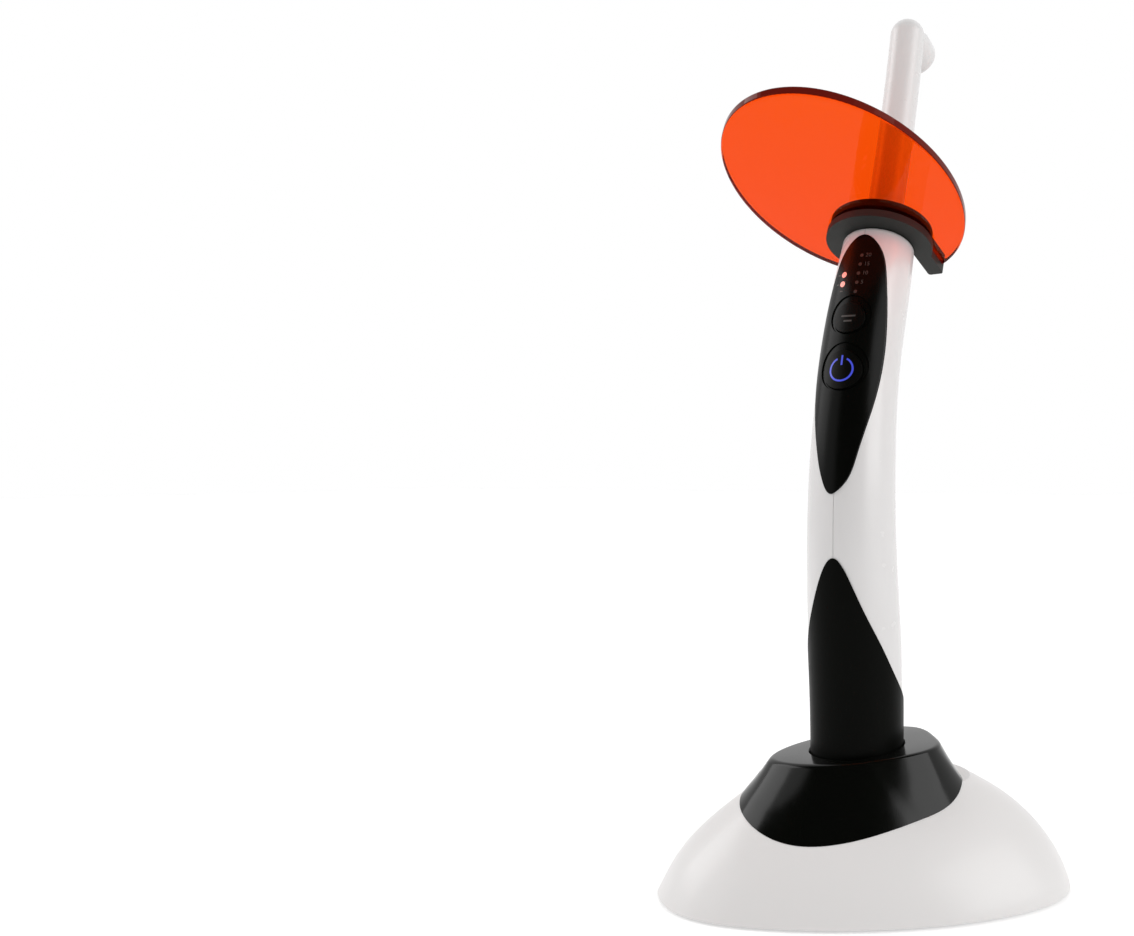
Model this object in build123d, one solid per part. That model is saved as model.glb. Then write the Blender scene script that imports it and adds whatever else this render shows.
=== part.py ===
from build123d import *
import os
from math import radians, sin, cos, tan, atan2

# Dental curing light: a pen-shaped cordless handset with an orange light shield, standing in a charging base.
# Millimetres, +Z up. The origin is on the table, on the axis of the round charging well.
# The control panel of the handset faces -Y and its light window faces +Y.

# Driving dimensions of the charging base
BASE_TURN = 35.0            # turn of the base's long axis from +X, seen from above
FOOT_HEIGHT = 0.8           # gap between table and base rim
BASE_WALL = 2.2
DOME_LEVELS = (0.0, 5.0, 11.0, 17.0, 23.0, 28.5)      # heights of the dome sections above the rim
DOME_NOSE = (54.5, 51.9, 48.0, 42.3, 35.0, 26.5)      # reach of each section towards the narrow end
DOME_TAIL = (58.5, 57.0, 53.8, 48.8, 41.2, 32.0)      # reach towards the broad end
DOME_HALF = (34.7, 33.2, 30.0, 25.6, 19.8, 13.4)      # half width of each section
# Plan outlines, narrow at one end and broad at the other: shares of the reach, then of the half width
DOME_SHAPE = ((-0.86, 0.50), (-0.54, 0.79), (0.06, 1.0), (0.62, 0.92), (0.90, 0.66))
COLLAR_TOP_SHAPE = ((-0.80, 0.42), (-0.46, 0.82), (0.20, 0.97), (0.74, 0.97), (0.94, 0.64))
COLLAR_LOW_SHAPE = ((-0.93, 0.75), (-0.72, 0.835), (-0.15, 1.0), (0.50, 0.88), (0.88, 0.60))
COLLAR_TOP = 38.0           # height of the collar top on the well axis
COLLAR_SLOPE = 5.1          # degrees, collar top rises towards the broad end
COLLAR_TOP_NOSE = 24.0
COLLAR_TOP_TAIL = 22.8
COLLAR_TOP_HALF = 16.2
COLLAR_FLARE_DROP = 23.0    # from the collar top to the foot of the skirt, which ends inside the dome
COLLAR_FLARE_NOSE = 36.3
COLLAR_FLARE_TAIL = 31.7
COLLAR_FLARE_HALF = 25.9
COLLAR_ROUND = 0.8
COLLAR_WALL = 2.0
DOME_SINK = 0.6             # how far the inside of the dome drops, as a share of its wall
SKIRT_GAP = 0.15            # shadow line between collar and dome
WELL_FLOOR = 12.0           # height of the well floor
WELL_FLOOR_THICKNESS = 1.8
WELL_WALL = 1.6
WELL_HOLE_GAP = 0.3
WELL_CLEARANCE = 0.1        # radial, at the widest part of the cover that stands in the well
PLATE_THICKNESS = 2.0
PLATE_CLEARANCE = 0.25
PLATE_RAISE = 0.4           # plate underside above the rim
BALLAST_THICKNESS = 3.0
BALLAST_MARGIN = 3.5        # from ballast edge to shell
BALLAST_GAP = 0.4
BOARD_THICKNESS = 1.6
BOARD_STANDOFF = 0.6
BOARD_LENGTH = 56.0
BOARD_WIDTH = 28.0
STANDOFF_INSET = 3.0        # from the edges of the board
STANDOFF_RADIUS = 2.25
STANDOFF_PIN_RADIUS = 1.23
STANDOFF_PIN_GAP = 0.02
STANDOFF_PIN_PROUD = 0.4
CHARGING_CHIPS = (          # width, depth and height, then centre on the board
    (8.0, 8.0, 3.2, -20.0, -4.0),
    (5.0, 4.0, 1.2, 18.0, -6.0),
    (3.0, 3.0, 1.0, -22.0, 7.0),
)
CAPACITOR = (2.5, 5.0, 20.0, 5.0)       # radius and height, then centre on the board
PIN_RADIUS = 0.9
PIN_ROUND = 0.54
PIN_CLEARANCE = 0.05
PIN_TRAVEL = 0.8
PIN_CONTACT_GAP = 0.02
PIN_FOOT_GAP = 0.1          # left under a pin at full travel
PIN_BLOCK_WIDTH = 5.0
BOSS_RADIUS = 3.2
SCREW_RADIUS = 1.25
SCREW_BITE = 0.2
SCREW_FIT = 0.02
SCREW_CLEARANCE = 0.2
SCREW_GRIP = 7.0
SCREW_LENGTH = 6.0
SCREW_HEAD_RADIUS = 2.4
SCREW_HEAD_HEIGHT = 1.4
SCREW_HEAD_SINK = 0.2       # head face above the plate underside
CROSS_LENGTH = 3.4
CROSS_WIDTH = 0.6
CROSS_DEPTH = 0.6
SCREW_SPOTS = ((-41.0, 0.0), (47.0, 0.0), (19.0, 24.5), (19.0, -24.5))
FOOT_RADIUS = 5.0
FOOT_RECESS = 0.8
FOOT_GAP = 0.05
FOOT_ROUND = 0.3
FOOT_SPOTS = ((0.0, 0.0), (-33.0, 14.0), (-33.0, -14.0), (38.0, 21.0), (38.0, -21.0))
INLET_WIDTH = 9.0
INLET_HEIGHT = 8.0
INLET_DEPTH = 12.0
INLET_BORE_RADIUS = 2.8
INLET_PIN_RADIUS = 1.0
INLET_BORE_DEPTH = 9.0
INLET_PIN_RECESS = 0.8
INLET_GAP = 0.3
INLET_RECESS = 1.6          # inlet face behind the widest point of the rim

# Driving dimensions of the handset
REACH = 40.0                # of cutting shapes, further than the body goes from its axis
HANDSET_SEAT_GAP = 0.05     # running gap between handset and well floor
STRAIGHT_TOP = 42.0         # the handset is straight up to here
BELLY = (-3.6, 92.0)        # y and z of the body axis where it bows forward
WAIST = (0.9, 139.0)        # y and z of the body axis behind the power button
SHOULDER = (16.1, 179.6)    # y and z of the body axis at the shoulder
SHOULDER_LEAN = 22.0        # degrees, backwards
TAIL_RADIUS = 12.4
STRAIGHT_RADII = ((22.0, 12.5), (32.0, 12.6), (42.0, 12.7))      # height of the section and its radius
BOWED_RADII = (
    (54.0, 12.8),
    (66.0, 12.85),
    (79.0, 12.7),
    (92.0, 12.4),
    (105.0, 12.1),
    (118.0, 11.8),
    (129.0, 11.5),
    (140.0, 11.25),
    (150.0, 11.15),
    (160.0, 11.1),
    (170.0, 10.85),
)
SHOULDER_RADIUS = 10.4
SHOULDER_ROUND = 1.3
BODY_WALL = 2.4
SEAM_GAP = 0.12             # between the two body shells
COVER_PROUD = 0.3
COVER_SEAT = 1.1            # depth of the seat that the lower cover fits over
COVER_EDGE = (              # y and z of the cover's upper edge seen from the side, from front to back
    (-17.0, 97.5),
    (-16.35, 91.8),
    (-15.0, 84.2),
    (-12.6, 76.0),
    (-8.4, 67.0),
    (-2.5, 57.7),
    (6.0, 50.0),
    (17.0, 44.5),
)
SEAT_CLEARANCE = 0.08
TAIL_CAP_RECESS = 1.0       # cap underside above the lower rim of the cover
TAIL_CAP_THICKNESS = 1.4
TERMINAL_RING_RADIUS = 6.0
TERMINAL_RING_WIDTH = 3.0
TERMINAL_PAD_RADIUS = 2.2
TERMINAL_THICKNESS = 0.5

# Driving dimensions of the control panel and its buttons
PANEL_PROUD = 0.45
PANEL_SEAT = 1.2
PANEL_LOW = 108.6
PANEL_HIGH = 181.0
PANEL_HALF = 9.5
PANEL_SHAPE = (             # shares of the half width and of the height
    (0.40, 0.055),
    (0.60, 0.14),
    (0.90, 0.33),
    (0.985, 0.60),
    (0.80, 0.83),
    (0.42, 0.965),
)
PANEL_LEDGE = 1.8
PANEL_CLEARANCE = 0.1
BUTTON_PROUD = 0.85
BUTTON_GAP = 0.25
BUTTON_TRAVEL = 0.4
BUTTON_FLANGE = 0.7
BUTTON_FLANGE_THICKNESS = 0.9
STEM_RADIUS = 1.5
STEM_GAP = 0.05             # left between stem and switch at full travel
POWER_RADIUS = 5.5
POWER_LEVEL = 138.0         # height on the body axis that the button's axis starts from
MODE_RADIUS = 4.5
MODE_LEVEL = 152.6
CRESCENT_WIDTH = 1.5
CRESCENT_RISE = 1.05        # how far the crescent's outer circle sits above the button
CRESCENT_DEPTH = 0.35
SYMBOL_RADIUS = 3.5
SYMBOL_STROKE = 0.5
SYMBOL_DEPTH = 0.5
SYMBOL_PROUD = 0.04
SYMBOL_BAR_LENGTH = 2.8
SYMBOL_BAR_OFFSET = 2.6
SYMBOL_OPENING = 50.0       # degrees left open at the top of the ring
LIT_LAMP_RADIUS = 0.85
LIT_LAMP_OFFSET = -3.9
LIT_LAMP_HEIGHTS = (166.3, 169.1)
TIME_LAMP_RADIUS = 0.5
TIME_LAMP_OFFSET = 0.7
TIME_LAMP_LOW = 163.8
TIME_LAMP_PITCH = 2.7
TIME_LAMP_COUNT = 5

# Driving dimensions of the electronics
CONTROL_BOARD_WIDTH = 10.5
CONTROL_BOARD_LENGTH = 44.0
CONTROL_BOARD_THICKNESS = 1.0
CONTROL_BOARD_LEVEL = 150.0
CONTROL_BOARD_OFFSET = 5.0  # from body axis to the face of the board
SWITCH_SIZE = 4.5
SWITCH_HEIGHT = 1.2
CONTROL_PARTS = (           # centre on the board, then width, depth and height
    (0.0, -18.3, 5.0, 5.0, 1.0),
    (3.6, -10.5, 1.6, 2.4, 0.8),
    (-3.6, -10.5, 1.6, 2.4, 0.8),
    (-3.9, 15.0, 1.6, 0.9, 0.6),
    (-3.9, 18.0, 1.6, 0.9, 0.6),
    (0.7, 15.0, 1.6, 0.9, 0.6),
    (0.7, 18.0, 1.6, 0.9, 0.6),
)
CELL_RADIUS = 9.0
CELL_LENGTH = 50.0
CELL_LOW = 19.0
CELL_OFFSET = 0.2           # foot of the cell behind the well axis
CELL_LEAN = -1.5            # degrees, forwards
CELL_ROUND = 0.8
CELL_CAP_RADIUS = 3.0
CELL_CAP_HEIGHT = 1.0
SLEEVE_WALL = 0.7
SLEEVE_LOW = 6.0            # above the foot of the cell
SLEEVE_LENGTH = 34.0
CONTACT_THICKNESS = 0.5
CONTACT_RIM = 1.5
CELL_SPRING_RADIUS = 3.6
CELL_SPRING_WIRE = 0.35
CELL_SPRING_TURNS = 2.5
CELL_SPRING_PLAY = 0.1      # in all, over the two ends
CELL_SPRING_GAP = 0.02      # at the lower end
CARRIER_THICKNESS = 2.0

# Driving dimensions of the neck and head
SPIGOT_RADIUS = 9.0
SPIGOT_HEIGHT = 8.0
SPIGOT_ROUND = 1.0
FERRULE_DEPTH = 9.0
NECK_RADIUS = 5.3
NECK_WALL = 0.9
NECK_FIT = 0.03
HEAD_POINT = (39.4, 248.9)  # y and z of the centre of the rounded tip
HEAD_BOSS_RADIUS = 6.1
HEAD_BOSS_REACH = 10.3      # from neck axis to the rim of the light window
HEAD_BOSS_DROP = 1.2        # boss axis below the tip centre, along the neck
HEAD_ROUND = 1.4
WINDOW_RADIUS = 4.3
WINDOW_THICKNESS = 1.6
WINDOW_SINK = 0.5
BOSS_TAPER = 4.0            # length over which the boss widens out of the neck
HEAT_PIPE_RADIUS = 2.6
LED_BOARD_RADIUS = 4.0
LED_BOARD_THICKNESS = 1.0
LED_BOARD_GAP = 0.1         # between the board and the floor of its bore
EMITTER_SIZE = 2.4
EMITTER_HEIGHT = 0.8
REFLECTOR_MOUTH = 3.9
REFLECTOR_FOOT = 1.9
REFLECTOR_FIT = 0.05
WIRE_RADIUS = 0.75
WIRE_OFFSET = 3.5

# Driving dimensions of the shield and its clip
CLIP_CLEARANCE = 0.05
CLIP_SEAT_GAP = 0.1
CLIP_FLANGE_RADIUS = 15.6
CLIP_UPPER_RADIUS = 15.0
CLIP_GROOVE_RADIUS = 13.0
CLIP_FLANGE = 2.2
CLIP_UPPER = 2.2
CLIP_MOUTH = 16.6           # less than the spigot, so that it snaps on
TAB_REACH = 18.0            # from axis to the end of the finger tabs
TAB_ROUND = 0.8
SHIELD_TURN = -4.5          # degrees that clip and shield stand turned on the ferrule, front towards -X
SHIELD_THICKNESS = 2.4
SHIELD_FIT = 0.05
SHIELD_LENGTH = 85.8
SHIELD_WIDTH = 62.2
SHIELD_FRONT = 65.0         # from neck axis to the front edge
SHIELD_ROUND = 0.5

os.makedirs("parts", exist_ok=True)


# Shared helpers

def node(name, solid):
    """Write one node, as one shape or as a group of separate solids."""
    if isinstance(solid, (list, tuple, ShapeList)):
        solid = Compound(children=list(solid))
    solid.label = name
    export_step(solid, f"parts/{name}.step")


def in_base(shape):
    """Turn a piece from the base's own axes, with its long axis on X, to where the base stands."""
    return Rot(0, 0, BASE_TURN) * shape


def rod(radius, low, high, x=0.0, y=0.0):
    """Upright cylinder between two heights."""
    return Pos(x, y, (low + high) / 2) * Cylinder(radius, high - low)


def block(width, depth, low, high, x=0.0, y=0.0):
    """Upright box between two heights."""
    return Pos(x, y, (low + high) / 2) * Box(width, depth, high - low)


def plan_face(shape, nose, tail, half, plane):
    """Closed smooth outline on a plane, through points given as shares of its three reaches."""
    side = [(share * (nose if share < 0 else tail), width * half) for share, width in shape]
    points = [(-nose, 0)] + [(x, -y) for x, y in side] + [(tail, 0)] + [(x, y) for x, y in reversed(side)]
    return plane * make_face(Spline(*points, periodic=True))


def dome(inset, sink):
    """The domed body of the base, smaller by inset all round and lower by sink."""
    sections = []
    for level, nose, tail, half in zip(DOME_LEVELS, DOME_NOSE, DOME_TAIL, DOME_HALF):
        drop = sink if level > 0 else 0.0
        plane = Plane.XY.offset(FOOT_HEIGHT + level - drop)
        sections.append(plan_face(DOME_SHAPE, nose - inset, tail - inset, half - inset, plane))
    return loft(sections)


def collar_plane(below):
    """Sloping plane of the collar top, or the same slope lower down."""
    lean = radians(COLLAR_SLOPE)
    origin = (0, 0, COLLAR_TOP - below)
    return Plane(origin=origin, x_dir=(cos(lean), 0, sin(lean)), z_dir=(-sin(lean), 0, cos(lean)))


def skirt(inset, sink):
    """The flared collar as a solid, smaller by inset and lower by sink."""
    upper = plan_face(COLLAR_TOP_SHAPE, COLLAR_TOP_NOSE - inset, COLLAR_TOP_TAIL - inset,
                      COLLAR_TOP_HALF - inset, collar_plane(sink))
    lower = plan_face(COLLAR_LOW_SHAPE, COLLAR_FLARE_NOSE - inset, COLLAR_FLARE_TAIL - inset,
                      COLLAR_FLARE_HALF - inset, collar_plane(COLLAR_FLARE_DROP + sink))
    return loft([upper, lower])


# Shell of the base: a thin dome with screw bosses, a hole for the well and an opening for the inlet

well_radius = STRAIGHT_RADII[-1][1] + COVER_PROUD + WELL_CLEARANCE
well_outer = well_radius + WELL_WALL
well_under = WELL_FLOOR - WELL_FLOOR_THICKNESS
base_span = 3 * DOME_TAIL[0]
plate_low = FOOT_HEIGHT + PLATE_RAISE
plate_top = plate_low + PLATE_THICKNESS
ballast_top = plate_top + BALLAST_THICKNESS
inlet_face = DOME_HALF[0] - INLET_RECESS - BASE_WALL / 2

inner_dome = dome(BASE_WALL, BASE_WALL * DOME_SINK)
base_shell = dome(0.0, 0.0) - inner_dome
base_shell += [rod(BOSS_RADIUS, plate_top, DOME_LEVELS[-1], x, y) & inner_dome for x, y in SCREW_SPOTS]
base_shell -= [rod(SCREW_RADIUS - SCREW_BITE, 0, plate_top + SCREW_GRIP, x, y) for x, y in SCREW_SPOTS]
base_shell -= rod(well_outer + WELL_HOLE_GAP, 0, COLLAR_TOP)
base_shell -= block(INLET_WIDTH + 2 * INLET_GAP, 2 * INLET_DEPTH, plate_top - INLET_GAP,
                    plate_top + INLET_HEIGHT + INLET_GAP, 0, inlet_face)
node("base_shell", in_base(base_shell))

# Collar: a flared skirt that stands on the dome, in one moulding with the round charging well

collar = skirt(0.0, 0.0)
collar = fillet(collar.faces().sort_by(Axis.Z)[-1].edges(), COLLAR_ROUND)
collar -= dome(-SKIRT_GAP, -SKIRT_GAP)
collar -= skirt(COLLAR_WALL, COLLAR_WALL) - rod(well_outer, 0, COLLAR_TOP)
collar += rod(well_outer, well_under, COLLAR_TOP - COLLAR_WALL)
collar -= rod(well_radius, WELL_FLOOR, 2 * COLLAR_TOP)
pin_spots = (0.0, TERMINAL_RING_RADIUS)
collar -= [rod(PIN_RADIUS + PIN_CLEARANCE, 0, COLLAR_TOP, x) for x in pin_spots]
node("base_collar", in_base(collar))

# Underside: plate, feet and screws

plate_blank = dome(BASE_WALL + PLATE_CLEARANCE, BASE_WALL * DOME_SINK)
base_plate = plate_blank & block(base_span, base_span, plate_low, plate_top)
base_plate -= [rod(FOOT_RADIUS + FOOT_GAP, 0, plate_low + FOOT_RECESS, x, y) for x, y in FOOT_SPOTS]
base_plate -= [rod(SCREW_RADIUS + SCREW_CLEARANCE, 0, plate_top + 1, x, y) for x, y in SCREW_SPOTS]
head_hole = SCREW_HEAD_RADIUS + SCREW_CLEARANCE
base_plate -= [rod(head_hole, 0, plate_low + SCREW_HEAD_HEIGHT, x, y) for x, y in SCREW_SPOTS]
node("base_plate", in_base(base_plate))

feet = []
for x, y in FOOT_SPOTS:
    foot = rod(FOOT_RADIUS, 0, plate_low + FOOT_RECESS - FOOT_GAP, x, y)
    feet.append(in_base(fillet(foot.edges().group_by(Axis.Z)[0], FOOT_ROUND)))
node("base_feet", feet)

screws = []
for x, y in SCREW_SPOTS:
    head_low = plate_low + SCREW_HEAD_SINK
    head_high = plate_low + SCREW_HEAD_HEIGHT
    screw = rod(SCREW_HEAD_RADIUS, head_low, head_high, x, y)
    screw += rod(SCREW_RADIUS - SCREW_BITE - SCREW_FIT, head_high, plate_top + SCREW_LENGTH, x, y)
    screw -= block(CROSS_LENGTH, CROSS_WIDTH, 0, head_low + CROSS_DEPTH, x, y)
    screw -= block(CROSS_WIDTH, CROSS_LENGTH, 0, head_low + CROSS_DEPTH, x, y)
    screws.append(in_base(screw))
node("base_screws", screws)

# Inside the base: steel ballast, charging board with its pin block and inlet

ballast = dome(BALLAST_MARGIN + BASE_WALL, 0.0) & block(base_span, base_span, plate_top, ballast_top)
ballast -= [rod(BOSS_RADIUS + BALLAST_GAP, 0, COLLAR_TOP, x, y) for x, y in SCREW_SPOTS]
ballast -= block(INLET_WIDTH + 2 * BALLAST_GAP, 2 * INLET_DEPTH, 0, COLLAR_TOP, 0, inlet_face)
node("ballast_plate", in_base(ballast))

board_low = ballast_top + BOARD_STANDOFF
board_top = board_low + BOARD_THICKNESS
board = block(BOARD_LENGTH, BOARD_WIDTH, board_low, board_top)
corner_x = BOARD_LENGTH / 2 - STANDOFF_INSET
corner_y = BOARD_WIDTH / 2 - STANDOFF_INSET
standoff_spots = [(side_x * corner_x, side_y * corner_y) for side_x in (-1, 1) for side_y in (-1, 1)]
board -= [rod(STANDOFF_PIN_RADIUS + STANDOFF_PIN_GAP, 0, COLLAR_TOP, x, y) for x, y in standoff_spots]
node("charging_board", in_base(board))
standoffs = []
for x, y in standoff_spots:
    standoff = rod(STANDOFF_RADIUS, ballast_top, board_low, x, y)
    standoff += rod(STANDOFF_PIN_RADIUS, board_low, board_top + STANDOFF_PIN_PROUD, x, y)
    standoffs.append(in_base(standoff))
node("board_standoffs", standoffs)
pin_block_length = TERMINAL_RING_RADIUS + PIN_BLOCK_WIDTH
pin_block = block(pin_block_length, PIN_BLOCK_WIDTH, board_top, well_under, TERMINAL_RING_RADIUS / 2)
pin_block -= [rod(PIN_RADIUS + PIN_CLEARANCE, board_top, COLLAR_TOP, x) for x in pin_spots]
node("pin_block", in_base(pin_block))
chips = [block(width, depth, board_top, board_top + height, x, y)
         for width, depth, height, x, y in CHARGING_CHIPS]
chips.append(rod(CAPACITOR[0], board_top, board_top + CAPACITOR[1], CAPACITOR[2], CAPACITOR[3]))
node("charging_parts", [in_base(chip) for chip in chips])

inlet = block(INLET_WIDTH, INLET_DEPTH, plate_top, plate_top + INLET_HEIGHT, 0, inlet_face - INLET_DEPTH / 2)
inlet_axis = Pos(0, inlet_face, plate_top + INLET_HEIGHT / 2) * Rot(90, 0, 0)
inlet -= inlet_axis * Pos(0, 0, INLET_BORE_DEPTH / 2) * Cylinder(INLET_BORE_RADIUS, INLET_BORE_DEPTH)
inlet_pin_length = INLET_BORE_DEPTH - INLET_PIN_RECESS
inlet_pin = inlet_axis * Pos(0, 0, INLET_BORE_DEPTH - inlet_pin_length / 2)
inlet_pin *= Cylinder(INLET_PIN_RADIUS, inlet_pin_length)
node("dc_inlet", in_base(inlet))
node("dc_inlet_pin", in_base(inlet_pin))

# Spring pins of the charging well, each on its own, standing up through the well floor

pin_top = WELL_FLOOR + HANDSET_SEAT_GAP + TAIL_CAP_RECESS - PIN_CONTACT_GAP
for name, x in zip(("charge_pin_centre", "charge_pin_ring"), pin_spots):
    pin = rod(PIN_RADIUS, board_top + PIN_TRAVEL + PIN_FOOT_GAP, pin_top, x)
    pin = fillet(pin.edges().group_by(Axis.Z)[-1], PIN_ROUND)
    node(name, in_base(pin))

# Body axis of the handset: straight in the well, then bowed forward and leaning back to the shoulder

lean = radians(SHOULDER_LEAN)
axis_curve = Spline((0, 0, STRAIGHT_TOP), (0, *BELLY), (0, *WAIST), (0, *SHOULDER),
                    tangents=[(0, 0, 1), (0, sin(lean), cos(lean))])
tail_low = WELL_FLOOR + HANDSET_SEAT_GAP
shoulder = Plane(origin=(0, *SHOULDER), x_dir=(1, 0, 0), z_dir=(0, sin(lean), cos(lean)))


def axis_plane(height):
    """Plane square to the body axis where the axis passes a height."""
    if height <= STRAIGHT_TOP:
        return Plane(origin=(0, 0, height), x_dir=(1, 0, 0), z_dir=(0, 0, 1))
    low, high = 0.0, 1.0
    for _ in range(40):
        middle = (low + high) / 2
        if axis_curve.position_at(middle).Z < height:
            low = middle
        else:
            high = middle
    return Plane(origin=axis_curve.position_at(low), x_dir=(1, 0, 0), z_dir=axis_curve.tangent_at(low))


def skin(grow):
    """The round body from tail to shoulder as a solid, grown or shrunk by a distance."""
    rows = [(tail_low, TAIL_RADIUS), *STRAIGHT_RADII, *BOWED_RADII]
    sections = [axis_plane(height) * Circle(radius + grow) for height, radius in rows]
    sections.append(shoulder * Circle(SHOULDER_RADIUS + grow))
    return loft(sections)


def side_prism(edges):
    """Closed outline in the middle plane, as a prism across the whole width."""
    return extrude(make_face(edges), REACH, dir=(1, 0, 0), both=True)


tail_point = (0, 0, 0)
shoulder_point = (0, *SHOULDER)
far_top = (0, SHOULDER[0], SHOULDER[1] + REACH)
front_top = (0, -REACH, far_top[2])
front_low = (0, -REACH, 0)
front_zone = side_prism([Line(tail_point, (0, 0, STRAIGHT_TOP)), axis_curve, Line(shoulder_point, far_top),
                         Line(far_top, front_top), Line(front_top, front_low), Line(front_low, tail_point)])


def cover_zone(raise_by):
    """Everything below the slanted upper edge of the lower cover, raised by a distance."""
    points = [(0, y, z + raise_by) for y, z in COVER_EDGE]
    front, back = (0, points[0][1], 0), (0, points[-1][1], 0)
    return side_prism([Spline(*points), Line(points[-1], back), Line(back, front), Line(front, points[0])])


def almond(grow):
    """Almond outline of the control panel seen from the front, as a prism in front of the body axis."""
    low, high, half = PANEL_LOW - grow, PANEL_HIGH + grow, PANEL_HALF + grow
    side = [(width * half, low + share * (high - low)) for width, share in PANEL_SHAPE]
    points = [(0, low)] + side + [(0, high)] + [(-x, z) for x, z in reversed(side)]
    face = Plane.XZ.offset(-REACH) * make_face(Spline(*points, periodic=True))
    return extrude(face, 2 * REACH) & front_zone


# Body shells: two halves that meet on the middle plane, with a seat for the panel and one for the cover

outer_skin = skin(0.0)
inner_skin = skin(-BODY_WALL)
panel_top_skin = skin(PANEL_PROUD)
panel_under_skin = skin(-PANEL_SEAT)
body = fillet(outer_skin.faces().sort_by(Axis.Z)[-1].edges(), SHOULDER_ROUND) - inner_skin
body -= almond(PANEL_CLEARANCE) - skin(-PANEL_SEAT - PANEL_CLEARANCE)
body -= almond(-PANEL_LEDGE)
body -= cover_zone(SEAT_CLEARANCE) - skin(-COVER_SEAT)
cap_low = tail_low + TAIL_CAP_RECESS
cap_top = cap_low + TAIL_CAP_THICKNESS
body -= rod(2 * TAIL_RADIUS, 0, cap_top + SEAT_CLEARANCE)
half_space = Box(REACH, 4 * REACH, 2 * far_top[2])
node("body_shell_left", body & Pos(-(REACH + SEAM_GAP) / 2, 0, 0) * half_space)
node("body_shell_right", body & Pos((REACH + SEAM_GAP) / 2, 0, 0) * half_space)

lower_cover = (skin(COVER_PROUD) - skin(-COVER_SEAT + SEAT_CLEARANCE)) & cover_zone(0.0)
node("lower_cover", lower_cover)

# Tail cap, set up inside the rim of the cover, with a pad and a ring flush in it as charging terminals

ring_outer = TERMINAL_RING_RADIUS + TERMINAL_RING_WIDTH / 2
ring_inner = TERMINAL_RING_RADIUS - TERMINAL_RING_WIDTH / 2
terminal_top = cap_low + TERMINAL_THICKNESS
terminal_pad = rod(TERMINAL_PAD_RADIUS, cap_low, terminal_top)
terminal_ring = rod(ring_outer, cap_low, terminal_top) - rod(ring_inner, cap_low, terminal_top)
node("tail_cap", rod(TAIL_RADIUS - COVER_SEAT, cap_low, cap_top) - terminal_pad - terminal_ring)
node("tail_terminals", [terminal_pad, terminal_ring])

# Cell, its sleeve, spring and upper contact carrier

cell_lean = radians(CELL_LEAN)
cell_foot = (0, CELL_OFFSET, CELL_LOW)
cell_plane = Plane(origin=cell_foot, x_dir=(1, 0, 0), z_dir=(0, sin(cell_lean), cos(cell_lean)))
cell = cell_plane * Pos(0, 0, CELL_LENGTH / 2) * Cylinder(CELL_RADIUS, CELL_LENGTH)
cell = fillet(cell.edges().filter_by(GeomType.CIRCLE), CELL_ROUND)
cell += cell_plane * Pos(0, 0, CELL_LENGTH + CELL_CAP_HEIGHT / 2) * Cylinder(CELL_CAP_RADIUS, CELL_CAP_HEIGHT)
node("battery_cell", cell)
sleeve = Cylinder(CELL_RADIUS + SLEEVE_WALL, SLEEVE_LENGTH) - Cylinder(CELL_RADIUS, SLEEVE_LENGTH)
node("cell_sleeve", cell_plane * Pos(0, 0, SLEEVE_LOW + SLEEVE_LENGTH / 2) * sleeve)
spring_length = CELL_LOW - cap_top - 2 * CELL_SPRING_WIRE - CELL_SPRING_PLAY
spring_path = Helix(spring_length / CELL_SPRING_TURNS, spring_length, CELL_SPRING_RADIUS)
spring_end = Plane(origin=spring_path @ 0, z_dir=spring_path % 0)
spring = sweep(spring_end * Circle(CELL_SPRING_WIRE), path=spring_path, is_frenet=True)
node("cell_spring", Pos(0, 0, cap_top + CELL_SPRING_WIRE + CELL_SPRING_GAP) * spring)
carrier_plane = cell_plane.offset(CELL_LENGTH + CELL_CAP_HEIGHT)
contact = carrier_plane * rod(CELL_CAP_RADIUS + CONTACT_RIM, 0, CONTACT_THICKNESS)
carrier = carrier_plane * rod(CELL_RADIUS, 0, CARRIER_THICKNESS) - contact
node("contact_carrier", carrier)
node("cell_contact", contact)

# Control board on a plane that follows the lean of the upper body, with its switches and parts

board_span = CONTROL_BOARD_LENGTH / 2
lower_point = axis_plane(CONTROL_BOARD_LEVEL - board_span).origin
upper_point = axis_plane(CONTROL_BOARD_LEVEL + board_span).origin
board_lean = atan2(upper_point.Y - lower_point.Y, upper_point.Z - lower_point.Z)
press = (0, -cos(board_lean), sin(board_lean))
board_origin = (lower_point + upper_point) / 2 + Vector(*press) * CONTROL_BOARD_OFFSET
board_plane = Plane(origin=board_origin, x_dir=(1, 0, 0), z_dir=press)
control_board = board_plane * Pos(0, 0, -CONTROL_BOARD_THICKNESS / 2) * Box(
    CONTROL_BOARD_WIDTH, CONTROL_BOARD_LENGTH, CONTROL_BOARD_THICKNESS)
node("control_board", control_board)
control_parts = [board_plane * Pos(x, y, height / 2) * Box(width, depth, height)
                 for x, y, width, depth, height in CONTROL_PARTS]
node("control_parts", control_parts)


def press_plane(level):
    """Plane on the body axis with its normal along the travel of the buttons."""
    return Plane(origin=axis_plane(level).origin, x_dir=(1, 0, 0), z_dir=press)


def board_height(plane):
    """Distance along the travel from a press plane to the face of the board."""
    return (Vector(*board_origin) - plane.origin).dot(Vector(*press))


# Panel and buttons

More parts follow.
